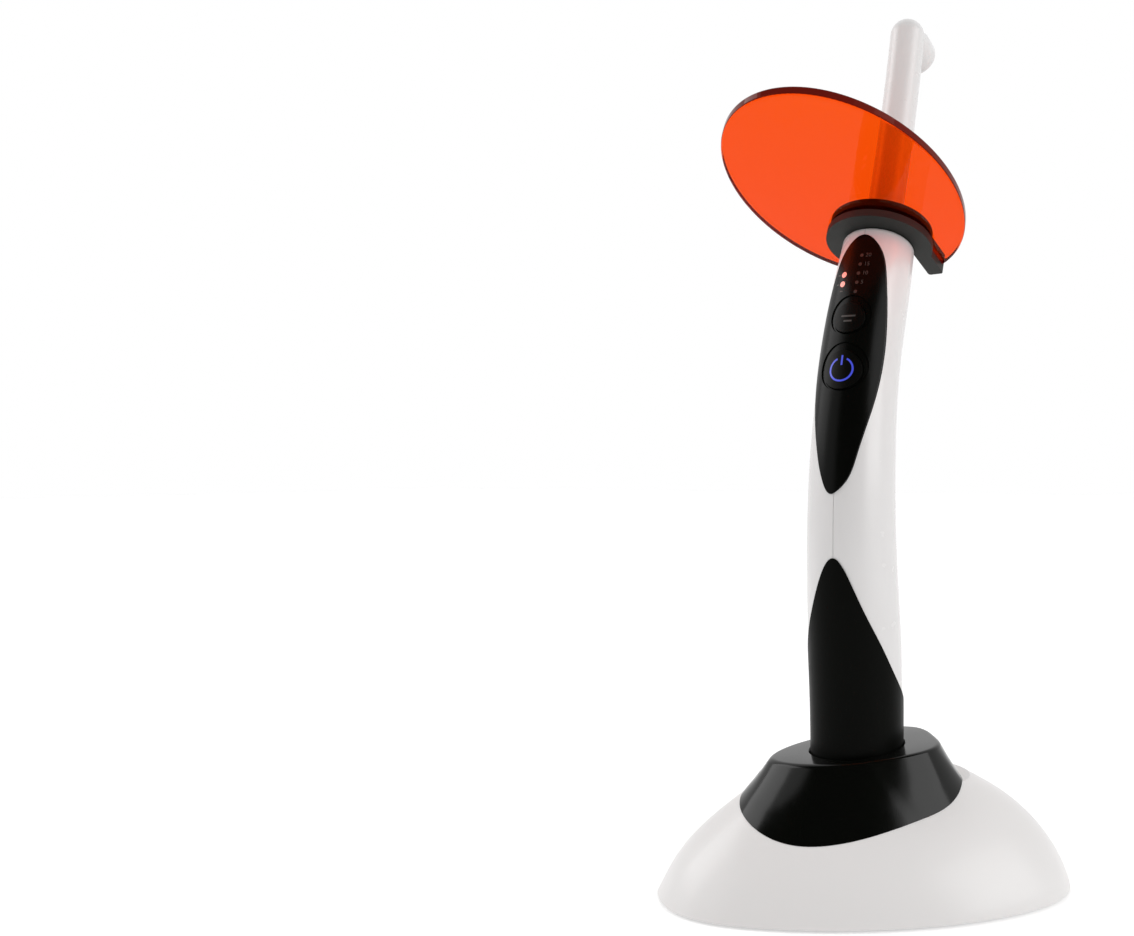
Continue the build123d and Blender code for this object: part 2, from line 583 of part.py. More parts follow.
button_top_skin = skin(BUTTON_PROUD)
flange_top_skin = skin(-PANEL_SEAT - PANEL_CLEARANCE)
flange_under_skin = skin(-PANEL_SEAT - PANEL_CLEARANCE - BUTTON_FLANGE_THICKNESS)
panel = (panel_top_skin - panel_under_skin) & almond(0.0)
crescent_skin = skin(PANEL_PROUD - CRESCENT_DEPTH)
switches = []
buttons = (("power_button", POWER_RADIUS, POWER_LEVEL), ("mode_button", MODE_RADIUS, MODE_LEVEL))
for name, radius, level in buttons:
    plane = press_plane(level)
    button = (plane * rod(radius, 0, REACH) & button_top_skin) - flange_under_skin
    button += (plane * rod(radius + BUTTON_FLANGE, 0, REACH) & flange_top_skin) - flange_under_skin
    switch_top = board_height(plane) + SWITCH_HEIGHT
    stem_low = switch_top + BUTTON_TRAVEL + STEM_GAP
    stem_top = SHOULDER_RADIUS - PANEL_SEAT
    button += plane * rod(STEM_RADIUS, stem_low, stem_top)
    panel -= plane * rod(radius + BUTTON_GAP, 0, REACH)
    panel -= plane * rod(radius + CRESCENT_WIDTH, 0, REACH, 0, CRESCENT_RISE) - crescent_skin
    switches.append(plane * block(SWITCH_SIZE, SWITCH_SIZE, switch_top - SWITCH_HEIGHT, switch_top))
    if name == "power_button":
        ring = Circle(SYMBOL_RADIUS) - Circle(SYMBOL_RADIUS - SYMBOL_STROKE)
        wedge_high = 2 * SYMBOL_RADIUS
        wedge_half = wedge_high * tan(radians(SYMBOL_OPENING / 2))
        wedge = make_face(Polyline((0, 0), (wedge_half, wedge_high), (-wedge_half, wedge_high), close=True))
        bar = Pos(0, SYMBOL_BAR_OFFSET) * Rectangle(SYMBOL_STROKE, SYMBOL_BAR_LENGTH)
        mark = plane * extrude(ring - wedge + bar, REACH)
        symbol_under_skin = skin(BUTTON_PROUD - SYMBOL_DEPTH)
        node("power_symbol", (mark & skin(BUTTON_PROUD + SYMBOL_PROUD)) - symbol_under_skin)
        button -= mark - symbol_under_skin
    node(name, button)
node("tact_switches", switches)

lamp_layer = panel_top_skin - panel_under_skin


def lamp(radius, x, z):
    """Light pipe that fills its hole in the panel."""
    return Pos(x, 0, z) * Rot(90, 0, 0) * Cylinder(radius, 2 * REACH) & front_zone & lamp_layer


lit_lamps = [lamp(LIT_LAMP_RADIUS, LIT_LAMP_OFFSET, z) for z in LIT_LAMP_HEIGHTS]
time_lamps = [lamp(TIME_LAMP_RADIUS, TIME_LAMP_OFFSET, TIME_LAMP_LOW + TIME_LAMP_PITCH * i)
              for i in range(TIME_LAMP_COUNT)]
panel -= lit_lamps + time_lamps
node("control_panel", panel)
node("mode_lamps", lit_lamps)
node("time_lamps", time_lamps)

# Neck: ferrule with the spigot for the clip, tube with rounded head, and what they hold

ferrule = shoulder * rod(SHOULDER_RADIUS - BODY_WALL - SEAT_CLEARANCE, -FERRULE_DEPTH, 0)
spigot = shoulder * rod(SPIGOT_RADIUS, 0, SPIGOT_HEIGHT)
ferrule += fillet(spigot.edges().group_by(Axis.Z)[-1], SPIGOT_ROUND)
ferrule -= shoulder * rod(NECK_RADIUS + NECK_FIT, -2 * FERRULE_DEPTH, 2 * SPIGOT_HEIGHT)
node("neck_ferrule", ferrule)

neck_low = shoulder.offset(-FERRULE_DEPTH)
neck_bend = shoulder.offset(SPIGOT_HEIGHT).origin
head_point = Vector(0, *HEAD_POINT)
neck_arc = TangentArc(neck_bend, head_point, tangent=shoulder.z_dir)
neck_path = Wire([Line(neck_low.origin, neck_bend), neck_arc])
along = neck_arc.tangent_at(1)
back = Vector(0, along.Z, -along.Y)
head = Plane(origin=head_point - along * HEAD_BOSS_DROP, x_dir=(1, 0, 0), z_dir=back)


def neck_rod(radius, x=0.0):
    """Round bar along the neck."""
    return sweep(neck_low * Pos(x, 0) * Circle(radius), path=neck_path)


def head_rod(radius, low, high):
    """Round bar square to the neck at the head, between two distances from the neck axis."""
    return head * Pos(0, 0, (low + high) / 2) * Cylinder(radius, high - low)


boss = head_rod(HEAD_BOSS_RADIUS, BOSS_TAPER, HEAD_BOSS_REACH)
boss = fillet(boss.edges().filter_by(GeomType.CIRCLE).sort_by(Axis.Y)[-1], HEAD_ROUND)
boss += head * Pos(0, 0, BOSS_TAPER / 2) * Cone(NECK_RADIUS, HEAD_BOSS_RADIUS, BOSS_TAPER)
led_low = HEAT_PIPE_RADIUS
led_top = led_low + LED_BOARD_THICKNESS
window_top = HEAD_BOSS_REACH - WINDOW_SINK
window_low = window_top - WINDOW_THICKNESS
neck = neck_rod(NECK_RADIUS) + Pos(*head_point) * Sphere(NECK_RADIUS) + boss
neck -= neck_rod(NECK_RADIUS - NECK_WALL)
neck -= head_rod(WINDOW_RADIUS, led_low - LED_BOARD_GAP, HEAD_BOSS_REACH + 1)
node("neck_tube", neck)

node("light_window", head_rod(WINDOW_RADIUS - REFLECTOR_FIT, window_low, window_top))
cup = Cone(REFLECTOR_FOOT, REFLECTOR_MOUTH, window_low - led_top)
cup = head * Pos(0, 0, (led_top + window_low) / 2) * cup
node("led_reflector", head_rod(WINDOW_RADIUS - REFLECTOR_FIT, led_top, window_low) - cup)
node("led_board", head_rod(LED_BOARD_RADIUS, led_low, led_top))
emitter = head * Pos(0, 0, led_top + EMITTER_HEIGHT / 2) * Box(EMITTER_SIZE, EMITTER_SIZE, EMITTER_HEIGHT)
node("led_emitter", emitter)
node("heat_pipe", neck_rod(HEAT_PIPE_RADIUS))
node("led_wires", [neck_rod(WIRE_RADIUS, WIRE_OFFSET), neck_rod(WIRE_RADIUS, -WIRE_OFFSET)])

# Clip: a rubber ring with two flanges and an open back, which snaps onto the ferrule and holds the shield

clip_plane = Plane(shoulder.offset(CLIP_SEAT_GAP).location * Rotation(0, 0, SHIELD_TURN))
groove_low = CLIP_FLANGE
groove_high = groove_low + SHIELD_THICKNESS + 2 * SHIELD_FIT
clip_high = groove_high + CLIP_UPPER
bore_radius = SPIGOT_RADIUS + CLIP_CLEARANCE


def clip_rod(radius, low, high):
    """Disc on the clip's axis between two heights above the shoulder."""
    return clip_plane * rod(radius, low, high)


def clip_block(low_x, high_x, low_y, high_y, low, high):
    """Box in the clip's own axes, with its open back towards +Y."""
    middle_x = (low_x + high_x) / 2
    middle_y = (low_y + high_y) / 2
    return clip_plane * block(high_x - low_x, high_y - low_y, low, high, middle_x, middle_y)


clip = clip_rod(CLIP_FLANGE_RADIUS, 0, groove_low) + clip_rod(CLIP_GROOVE_RADIUS, groove_low, groove_high)
clip += clip_rod(CLIP_UPPER_RADIUS, groove_high, clip_high)
for side in (-1, 1):
    inner, outer = sorted((side * CLIP_MOUTH / 2, side * CLIP_GROOVE_RADIUS))
    tab = clip_block(inner, outer, 0, TAB_REACH, 0, clip_high)
    upright_edges = tab.edges().filter_by(Axis((0, 0, 0), clip_plane.z_dir))
    clip += fillet(upright_edges.sort_by(Axis.Y)[-2:], TAB_ROUND)
clip -= clip_rod(bore_radius, -1, clip_high + 1)
clip -= clip_block(-CLIP_MOUTH / 2, CLIP_MOUTH / 2, 0, 2 * TAB_REACH, -1, clip_high + 1)
node("shield_clip", clip)

# Shield: a flat orange oval with a slot from its back edge, so that it pushes into the groove of the clip

shield_plane = clip_plane.offset(groove_low + SHIELD_FIT)
slot_half = CLIP_GROOVE_RADIUS + SHIELD_FIT
shield_middle = SHIELD_LENGTH / 2 - SHIELD_FRONT
oval = shield_plane * Pos(0, shield_middle, 0) * Ellipse(SHIELD_WIDTH / 2, SHIELD_LENGTH / 2)
shield = extrude(oval, SHIELD_THICKNESS, dir=tuple(shoulder.z_dir))
shield = fillet(shield.edges(), SHIELD_ROUND)
shield -= shield_plane * rod(slot_half, -1, SHIELD_THICKNESS + 1)
shield -= shield_plane * block(2 * slot_half, 2 * TAB_REACH, -1, SHIELD_THICKNESS + 1, 0, TAB_REACH)
node("light_shield", shield)
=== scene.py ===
import bpy
import bmesh
from math import copysign, radians, sin, cos, tan, pi
from mathutils import Matrix, Vector
from mathutils.bvhtree import BVHTree


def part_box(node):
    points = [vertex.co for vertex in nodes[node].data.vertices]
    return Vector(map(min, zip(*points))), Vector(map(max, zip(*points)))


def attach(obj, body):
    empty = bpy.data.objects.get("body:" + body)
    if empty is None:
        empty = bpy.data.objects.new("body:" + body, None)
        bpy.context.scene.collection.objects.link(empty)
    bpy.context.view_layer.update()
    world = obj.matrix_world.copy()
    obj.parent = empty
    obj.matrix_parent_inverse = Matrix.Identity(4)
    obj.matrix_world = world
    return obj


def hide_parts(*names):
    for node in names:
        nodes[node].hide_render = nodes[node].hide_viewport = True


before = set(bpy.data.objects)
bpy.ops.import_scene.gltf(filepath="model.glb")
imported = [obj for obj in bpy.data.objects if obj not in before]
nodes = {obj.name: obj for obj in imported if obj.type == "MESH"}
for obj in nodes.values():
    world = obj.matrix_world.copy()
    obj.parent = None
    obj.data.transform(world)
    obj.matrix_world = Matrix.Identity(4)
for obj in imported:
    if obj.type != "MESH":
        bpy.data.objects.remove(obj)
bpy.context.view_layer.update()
scene = bpy.context.scene
scene.view_settings.view_transform = "Standard"

# Domed housing of the charging base: a glossy white moulding with a faint warm cast.
# It is one shell, polished in the mould, so only the slightest orange peel shows in reflections.
# This white is lighter than the white of the handset's shells, which are the same plastic: painted light that
# brightens the dome.
DOME_WHITE_LIGHTENED = (0.90, 0.885, 0.876)
DRIFT_SCALE, WEAR_SCALE, WEAR_DETAIL, PEEL_DETAIL = 38.0, 210.0, 5.0, 2.0
COAT_ROUGHNESS = 0.06


def new_material(name):
    """An empty material, its node tree, its shader and its output."""
    material = bpy.data.materials.new(name)
    material.use_nodes = True
    tree = material.node_tree
    tree.nodes.clear()
    output = tree.nodes.new("ShaderNodeOutputMaterial")
    shader = tree.nodes.new("ShaderNodeBsdfPrincipled")
    tree.links.new(shader.outputs["BSDF"], output.inputs["Surface"])
    return material, tree, shader, output


def noise_at(tree, scale, detail=3.0):
    """Noise that stays on the piece, in its own coordinates."""
    place = tree.nodes.new("ShaderNodeTexCoord")
    noise = tree.nodes.new("ShaderNodeTexNoise")
    noise.inputs["Scale"].default_value = scale
    noise.inputs["Detail"].default_value = detail
    tree.links.new(place.outputs["Object"], noise.inputs["Vector"])
    return noise.outputs["Fac"]


def blend(tree, share, first, second, socket):
    """Feeds a colour socket with a mix of two colours."""
    mix = tree.nodes.new("ShaderNodeMix")
    mix.data_type = "RGBA"
    mix.inputs["A"].default_value = (*first, 1)
    mix.inputs["B"].default_value = (*second, 1)
    tree.links.new(share, mix.inputs["Factor"])
    tree.links.new(mix.outputs["Result"], socket)


def uneven_gloss(tree, shader, rough_low, rough_high, scale, detail=3.0):
    """Roughness that wanders between two values over the piece."""
    gloss = tree.nodes.new("ShaderNodeMapRange")
    gloss.inputs["To Min"].default_value = rough_low
    gloss.inputs["To Max"].default_value = rough_high
    tree.links.new(noise_at(tree, scale, detail), gloss.inputs["Value"])
    tree.links.new(gloss.outputs["Result"], shader.inputs["Roughness"])


def moulded(name, colour, shift, rough_low, rough_high, peel_scale, peel_depth, coat=0.0, shine=0.5):
    """A moulded or painted finish: slight drift of colour and gloss, and a fine skin texture."""
    material, tree, shader, _ = new_material(name)
    shifted = [channel * shift for channel in colour]
    blend(tree, noise_at(tree, DRIFT_SCALE), colour, shifted, shader.inputs["Base Color"])
    uneven_gloss(tree, shader, rough_low, rough_high, WEAR_SCALE, WEAR_DETAIL)
    bump = tree.nodes.new("ShaderNodeBump")
    bump.inputs["Strength"].default_value = 1.0
    bump.inputs["Distance"].default_value = peel_depth
    tree.links.new(noise_at(tree, peel_scale, PEEL_DETAIL), bump.inputs["Height"])
    tree.links.new(bump.outputs["Normal"], shader.inputs["Normal"])
    shader.inputs["Specular IOR Level"].default_value = shine
    shader.inputs["Coat Weight"].default_value = coat
    shader.inputs["Coat Roughness"].default_value = COAT_ROUGHNESS
    return material


def dress(node, material):
    """Gives a CAD node its finish, in the node's own slots."""
    mesh = nodes[node].data
    mesh.materials.clear()
    mesh.materials.append(material)


white_housing = moulded("white_housing", DOME_WHITE_LIGHTENED, 0.985, 0.28, 0.38, 620.0, 0.000004, coat=0.08)
dress("base_shell", white_housing)

# Flared collar and charging well: one glossy black moulding clipped onto the white dome.
# Its skirt is an egg-shaped bell, ruled straight from the rounded ledge down to the seam on the dome.
# The well in its middle has a round bore and a floor with a hole for each spring pin.
black_gloss = moulded("black_gloss", (0.0020, 0.0023, 0.0017), 1.3, 0.11, 0.19, 700.0, 0.000003, shine=0.26)
dress("base_collar", black_gloss)
BASE_TURN = radians(35)
LEDGE_HEIGHT, LEDGE_SLOPE = 0.038, tan(radians(5.1))
# Each oval: its middle along the base, its reach to the nose and to the tail, its half width, and the
# power of either end. Two makes an ellipse, and more makes the end squarer.
LEDGE_OVAL = (0.0, 0.0242, 0.0221, 0.0168, 1.75, 3.3)
SEAM_OVAL = (0.0063, 0.0398, 0.0214, 0.0234, 2.05, 2.69)
SEAM_TURN = radians(14.3)
LEDGE_ROUND, COLLAR_WALL, SEAM_GAP = 0.0011, 0.0016, 0.00015
ROUND_SHARES = (0.0, 0.17, 0.33, 0.5, 0.67, 0.83, 1.0)
BORE_RADIUS, BORE_LIP, WELL_RADIUS, WELL_FLOOR, WELL_UNDER = 0.0131, 0.0004, 0.0147, 0.0120, 0.0102
PIN_HOLE_RADIUS, PIN_HOLE_DEPTH, PIN_HOLE_BELOW = 0.00095, 0.006, 0.001
COLLAR_STEPS, OVER_ALL = 180, 0.1
skins = {}


def skin_of(node):
    """Search tree of a node's surface, made once."""
    if node not in skins:
        mesh = nodes[node].data
        skins[node] = BVHTree.FromPolygons([v.co.copy() for v in mesh.vertices],
                                           [tuple(p.vertices) for p in mesh.polygons])
    return skins[node]


def egg(angle, middle, nose, tail, half, nose_power, tail_power, inset=0.0):
    """Point of an egg-shaped outline in plan, along and across the base."""
    reach, power = (tail, tail_power) if cos(angle) > 0 else (nose, nose_power)
    along = middle + copysign((reach - inset) * abs(cos(angle)) ** (2 / power), cos(angle))
    across = copysign((half - inset) * abs(sin(angle)) ** (2 / power), sin(angle))
    return along, across


def turned(place):
    """A point of the seam, which stands turned a little against the ledge."""
    along, across = place
    return (along * cos(SEAM_TURN) - across * sin(SEAM_TURN),
            along * sin(SEAM_TURN) + across * cos(SEAM_TURN))


def in_base(along, across, height):
    """A point of the base, turned as the base stands."""
    return Vector((along * cos(BASE_TURN) - across * sin(BASE_TURN),
                   along * sin(BASE_TURN) + across * cos(BASE_TURN), height))


def on_dome(along, across):
    """A point just above the dome."""
    place = in_base(along, across, OVER_ALL)
    hit = skin_of("base_shell").ray_cast(place, Vector((0, 0, -1)))[0]
    return Vector((place.x, place.y, hit.z + SEAM_GAP))


def on_ledge(along, across, below=0.0):
    """A point of the sloping ledge, or below it."""
    return in_base(along, across, LEDGE_HEIGHT - below + along * LEDGE_SLOPE)


def collar_profile(angle):
    """One upright section of the collar, from the well floor over the ledge and round to its underside."""
    along, across = egg(angle, *LEDGE_OVAL)
    edge = on_ledge(along, across)
    seam = on_dome(*turned(egg(angle, *SEAM_OVAL)))
    out = Vector((along, across)).normalized()
    bore, tube = out * BORE_RADIUS, out * WELL_RADIUS
    inward = (on_ledge(*bore) - edge).normalized()
    down = (seam - edge).normalized()
    rounded = [edge + inward * LEDGE_ROUND * (1 - share) ** 2 + down * LEDGE_ROUND * share ** 2
               for share in ROUND_SHARES]
    lip = bore * (1 + BORE_LIP / BORE_RADIUS)
    inner_seam = on_dome(*turned(egg(angle, *SEAM_OVAL, inset=COLLAR_WALL)))
    inner_edge = on_ledge(*egg(angle, *LEDGE_OVAL, inset=COLLAR_WALL), below=COLLAR_WALL)
    return [in_base(*bore, WELL_FLOOR), on_ledge(*bore, below=BORE_LIP), on_ledge(*lip), *rounded,
            edge.lerp(seam, 0.35), edge.lerp(seam, 0.7), seam, inner_seam, inner_edge,
            on_ledge(*tube, below=COLLAR_WALL), in_base(*tube, WELL_UNDER)]


def in_scene(name, data):
    """A new object of a mesh, curve, lamp or camera, put into the scene."""
    added = bpy.data.objects.new(name, data)
    scene.collection.objects.link(added)
    return added


def finished(source):
    """Mesh of an object with its modifiers applied."""
    return bpy.data.meshes.new_from_object(source.evaluated_get(bpy.context.evaluated_depsgraph_get()))


collar_form = bmesh.new()
rings = [[collar_form.verts.new(point) for point in collar_profile(2 * pi * (i + 0.5) / COLLAR_STEPS)]
         for i in range(COLLAR_STEPS)]
for i, ring in enumerate(rings):
    following = rings[(i + 1) % COLLAR_STEPS]
    for k in range(len(ring) - 1):
        collar_form.faces.new((ring[k], following[k], following[k + 1], ring[k + 1]))
collar_form.faces.new([ring[0] for ring in rings])
collar_form.faces.new([ring[-1] for ring in rings])
bmesh.ops.recalc_face_normals(collar_form, faces=collar_form.faces)
collar_mesh = bpy.data.meshes.new("collar")
collar_form.to_mesh(collar_mesh)
collar_form.free()
collar_blank = in_scene("collar_blank", collar_mesh)
pin_cutters = []
for node in ("charge_pin_centre", "charge_pin_ring"):
    low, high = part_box(node)
    drill = bmesh.new()
    middle = Matrix.Translation(((low.x + high.x) / 2, (low.y + high.y) / 2, WELL_FLOOR - PIN_HOLE_BELOW))
    bmesh.ops.create_cone(drill, cap_ends=True, segments=48, radius1=PIN_HOLE_RADIUS,
                          radius2=PIN_HOLE_RADIUS, depth=PIN_HOLE_DEPTH, matrix=middle)
    drill_mesh = bpy.data.meshes.new("drill")
    drill.to_mesh(drill_mesh)
    drill.free()
    cutter = in_scene("drill", drill_mesh)
    hole = collar_blank.modifiers.new("pin_hole", "BOOLEAN")
    hole.operation = "DIFFERENCE"
    hole.solver = "EXACT"
    hole.object = cutter
    pin_cutters.append(cutter)
collar_mesh = finished(collar_blank)
for spare in (collar_blank, *pin_cutters):
    bpy.data.objects.remove(spare)
collar_mesh.shade_smooth()
collar_mesh.set_sharp_from_angle(angle=radians(35))
collar_mesh.materials.clear()
collar_mesh.materials.append(black_gloss)
collar = in_scene("collar", collar_mesh)
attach(collar, "base")
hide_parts("base_collar")

# Underside of the base: a textured black plate, five soft rubber feet and plated cross-head screws.
# The plate is pressed in behind the rim and screwed up into bosses inside the dome.
black_textured = moulded("black_textured", (0.026, 0.026, 0.027), 1.2, 0.48, 0.62, 1500.0, 0.00002)
foot_rubber = moulded("foot_rubber", (0.020, 0.020, 0.020), 1.3, 0.72, 0.85, 1900.0, 0.00003)
dress("base_plate", black_textured)
dress("base_feet", foot_rubber)
METAL_SHIFT = 0.93


def metal(name, colour, rough_low, rough_high, brush_scale, brush_depth):
    """A bare or plated metal with the fine unevenness that its finish leaves."""
    material = moulded(name, colour, METAL_SHIFT, rough_low, rough_high, brush_scale, brush_depth)
    material.node_tree.nodes["Principled BSDF"].inputs["Metallic"].default_value = 1.0
    return material


zinc_plate = metal("zinc_plate", (0.60, 0.60, 0.61), 0.26, 0.38, 1600.0, 0.000008)
mill_steel = metal("mill_steel", (0.46, 0.46, 0.47), 0.36, 0.52, 900.0, 0.00002)
dress("base_screws", zinc_plate)
dress("ballast_plate", mill_steel)

# Charging electronics: a green circuit board on nylon standoffs, black parts and a guide block for the pins.
# Gold-plated spring pins come up through the well floor, and the supply inlet is on the far side.
# The handset's own board, parts, carriers and contacts have the same finishes.
board_green = moulded("board_green", (0.018, 0.135, 0.055), 1.5, 0.28, 0.40, 1100.0, 0.00001)
part_black = moulded("part_black", (0.030, 0.030, 0.032), 1.2, 0.40, 0.55, 1700.0, 0.00001)
nylon = moulded("nylon", (0.70, 0.69, 0.65), 0.96, 0.42, 0.52, 1300.0, 0.00001)
gold_plate = metal("gold_plate", (0.83, 0.62, 0.27), 0.16, 0.26, 1900.0, 0.000004)
nickel_plate = metal("nickel_plate", (0.68, 0.66, 0.62), 0.18, 0.28, 1900.0, 0.000004)
for node in ("charging_board", "control_board"):
    dress(node, board_green)
for node in ("charging_parts", "control_parts", "tact_switches", "pin_block", "dc_inlet"):
    dress(node, part_black)
for node in ("board_standoffs", "cell_sleeve", "contact_carrier"):
    dress(node, nylon)
for node in ("charge_pin_centre", "charge_pin_ring", "tail_terminals"):
    dress(node, gold_plate)
for node in ("dc_inlet_pin", "cell_contact", "cell_spring"):
    dress(node, nickel_plate)

# Body of the handset: two glossy white shells joined on the centreline.
# They are the same plastic as the dome, polished a little further, so their reflections are sharper.
white_shell = moulded("white_shell", (0.82, 0.805, 0.80), 0.985, 0.22, 0.30, 620.0, 0.000003, coat=0.12)
for node in ("body_shell_left", "body_shell_right"):
    dress(node, white_shell)

# Lower cover and tail cap: a satin black sleeve that rises to one rounded peak on the front.
# It sits slightly proud of the white shells, and the textured cap closes the tail round its terminals.
black_satin = moulded("black_satin", (0.0018, 0.0020, 0.0015), 1.35, 0.30, 0.42, 1400.0, 0.000008, shine=0.04)
dress("lower_cover", black_satin)
dress("tail_cap", black_textured)

# Control panel and its two keys: smoked black plastic with a soft shine, snapped into the front of the body.
# The keys are domed to follow the panel and press inwards onto small switches.
panel_black = moulded("panel_black", (0.0018, 0.0020, 0.0015), 1.3, 0.20, 0.30, 1300.0, 0.000006, shine=0.09)
key_black = moulded("key_black", (0.0026, 0.0027, 0.0022), 1.25, 0.26, 0.38, 1500.0, 0.000008, shine=0.10)
dress("control_panel", panel_black)
dress("power_button", key_black)
dress("mode_button", key_black)

# Light guides in the panel: the ring on the power key glows blue, the two mode lamps glow pink-white.
# The five time lamps are off and look like small smoked dots, yet they are given a faint painted glow.
GUIDE_ROUGHNESS, HAZE_SCALE, HAZE_DETAIL, HAZE_DIM = 0.25, 2600.0, 1.0, 0.8


def lit(name, colour, glow, strength):
    """A light guide with its lamp's glow in it."""
    material, tree, shader, _ = new_material(name)
    shader.inputs["Base Color"].default_value = (*colour, 1)
    shader.inputs["Roughness"].default_value = GUIDE_ROUGHNESS
    shader.inputs["Emission Strength"].default_value = strength
    dimmed = [channel * HAZE_DIM for channel in glow]
    blend(tree, noise_at(tree, HAZE_SCALE, HAZE_DETAIL), glow, dimmed, shader.inputs["Emission Color"])
    return material


ring_blue = lit("ring_blue", (0.02, 0.03, 0.12), (0.050, 0.065, 0.62), 1.0)
lamp_pink = lit("lamp_pink", (0.70, 0.26, 0.22), (0.80, 0.24, 0.19), 0.80)
# The off lamps still emit a little light: a painted glow, as no lamp lights them from inside.
lamp_off_faint_glow = lit("lamp_off_faint_glow", (0.030, 0.024, 0.022), (0.010, 0.007, 0.006), 1.0)
dress("power_symbol", ring_blue)
dress("mode_lamps", lamp_pink)
dress("time_lamps", lamp_off_faint_glow)

# Cell and wiring inside the handset: a cell in a blue film, a copper heat pipe and two red leads.
# The film is shrunk on, the pipe is bare drawn copper, and the leads have a soft coloured sleeve.
film_blue = moulded("film_blue", (0.035, 0.13, 0.40), 1.15, 0.22, 0.34, 900.0, 0.00001)
copper = metal("copper", (0.74, 0.38, 0.24), 0.22, 0.36, 1200.0, 0.00001)
lead_red = moulded("lead_red", (0.42, 0.025, 0.022), 1.15, 0.42, 0.56, 1500.0, 0.00001)
dress("battery_cell", film_blue)
dress("heat_pipe", copper)
dress("led_wires", lead_red)

# Neck, ferrule and head: a slim tube and the ring that holds it, both in a white lacquer to match the body.
# In the head a polished reflector stands round the yellow emitter, behind a clear window.
white_lacquer = moulded("white_lacquer", (0.81, 0.80, 0.795), 0.985, 0.24, 0.32, 800.0, 0.000003, coat=0.12)
polished = metal("polished", (0.86, 0.86, 0.86), 0.06, 0.12, 1900.0, 0.000002)
emitter_yellow = moulded("emitter_yellow", (0.82, 0.66, 0.12), 0.92, 0.30, 0.42, 2100.0, 0.000006)
dress("neck_tube", white_lacquer)
dress("neck_ferrule", white_lacquer)
dress("led_reflector", polished)
dress("led_board", mill_steel)
dress("led_emitter", emitter_yellow)
window_clear, window_tree, window_shader, _ = new_material("window_clear")
window_shader.inputs["Base Color"].default_value = (0.95, 0.97, 0.98, 1)
window_shader.inputs["Transmission Weight"].default_value = 1.0
window_shader.inputs["IOR"].default_value = 1.49
uneven_gloss(window_tree, window_shader, 0.01, 0.05, 500.0)
dress("light_window", window_clear)

# Shield clip: a grey rubber ring with two flanges and an open back, snapped round the ferrule.
# It is moulded soft and matt, and the shield sits in the groove between its flanges.
clip_rubber = moulded("clip_rubber", (0.031, 0.032, 0.030), 1.15, 0.48, 0.62, 1500.0, 0.000015, shine=0.15)
dress("shield_clip", clip_rubber)

# Light shield: a flat oval of clear orange acrylic, sawn from sheet and polished on its faces.
# The colour is in its depth and not on its face. The rim, which little light leaves, is painted shade: an
# opaque deep red band that stands in for the light that runs along inside the plate, and the plate's
# reflections are tinted red as well.
# One shader serves both: the slant of the plate's own normal tells the clear faces from the painted rim.
SHIELD_LEAN, FACE_SLANT = radians(22), 0.7
# The dark red here is painted shade: the opaque colour that the rim gets in place of the light that leaves
# it.
RIM_PAINTED_SHADE, CLEAR = (0.14, 0.010, 0.006), (1.0, 1.0, 1.0)
shield_orange, shield_tree, shield_shader, shield_output = new_material("shield_orange")
shield_shader.inputs["Base Color"].default_value = (*CLEAR, 1)
shield_shader.inputs["Transmission Weight"].default_value = 1.0
shield_shader.inputs["IOR"].default_value = 1.20
# The tint turns every reflection off the plate orange-red: a painted tint on reflected light, which deepens
# the red of the rim.
shield_shader.inputs["Specular Tint"].default_value = (0.85, 0.16, 0.03, 1)
uneven_gloss(shield_tree, shield_shader, 0.0, 0.03, 120.0)
tint =shield_tree.nodes.new("ShaderNodeVolumeAbsorption")
tint.inputs["Color"].default_value = (0.992, 0.59, 0.02, 1)
tint.inputs["Density"].default_value = 1900.0
shield_tree.links.new(tint.outputs["Volume"], shield_output.inputs["Volume"])
glow_through = shield_tree.nodes.new("ShaderNodeBsdfTransparent")
glow_through.inputs["Color"].default_value = (0.92, 0.09, 0.012, 1)
shadow_only = shield_tree.nodes.new("ShaderNodeLightPath")
choose = shield_tree.nodes.new("ShaderNodeMixShader")
shield_tree.links.new(shadow_only.outputs["Is Shadow Ray"], choose.inputs["Fac"])
shield_tree.links.new(shield_shader.outputs["BSDF"], choose.inputs[1])
shield_tree.links.new(glow_through.outputs["BSDF"], choose.inputs[2])
side_on = shield_tree.nodes.new("ShaderNodeTexCoord")
slant = shield_tree.nodes.new("ShaderNodeVectorMath")
slant.operation = "DOT_PRODUCT"
slant.inputs[1].default_value = (0, sin(SHIELD_LEAN), cos(SHIELD_LEAN))
either_face = shield_tree.nodes.new("ShaderNodeMath")
either_face.operation = "ABSOLUTE"
on_face = shield_tree.nodes.new("ShaderNodeMath")
on_face.operation = "GREATER_THAN"
on_face.inputs[1].default_value = FACE_SLANT
shield_tree.links.new(side_on.outputs["Normal"], slant.inputs[0])
shield_tree.links.new(slant.outputs["Value"], either_face.inputs[0])
shield_tree.links.new(either_face.outputs[0], on_face.inputs[0])
# The rim gets the painted shade colour and no transmission, while the faces stay clear.
blend(shield_tree, on_face.outputs[0], RIM_PAINTED_SHADE, CLEAR, shield_shader.inputs["Base Color"])
shield_tree.links.new(on_face.outputs[0], shield_shader.inputs["Transmission Weight"])
shield_tree.links.new(choose.outputs["Shader"], shield_output.inputs["Surface"])
dress("light_shield", shield_orange)

# Printing beside the time lamps: small grey figures, from the second lamp up.
# They are ink on the surface, so each mark is laid on the skin of the piece below it.
print_grey = moulded("print_grey", (0.046, 0.045, 0.042), 1.1, 0.48, 0.60, 2200.0, 0.000004)
INK_PROUD, IN_FRONT = 0.00004, -0.08
FIGURE_HEIGHT, FIGURE_X = 0.0016, 0.0018
TIME_LAMP_HALF, TIME_PITCH = 0.0005, 0.0027


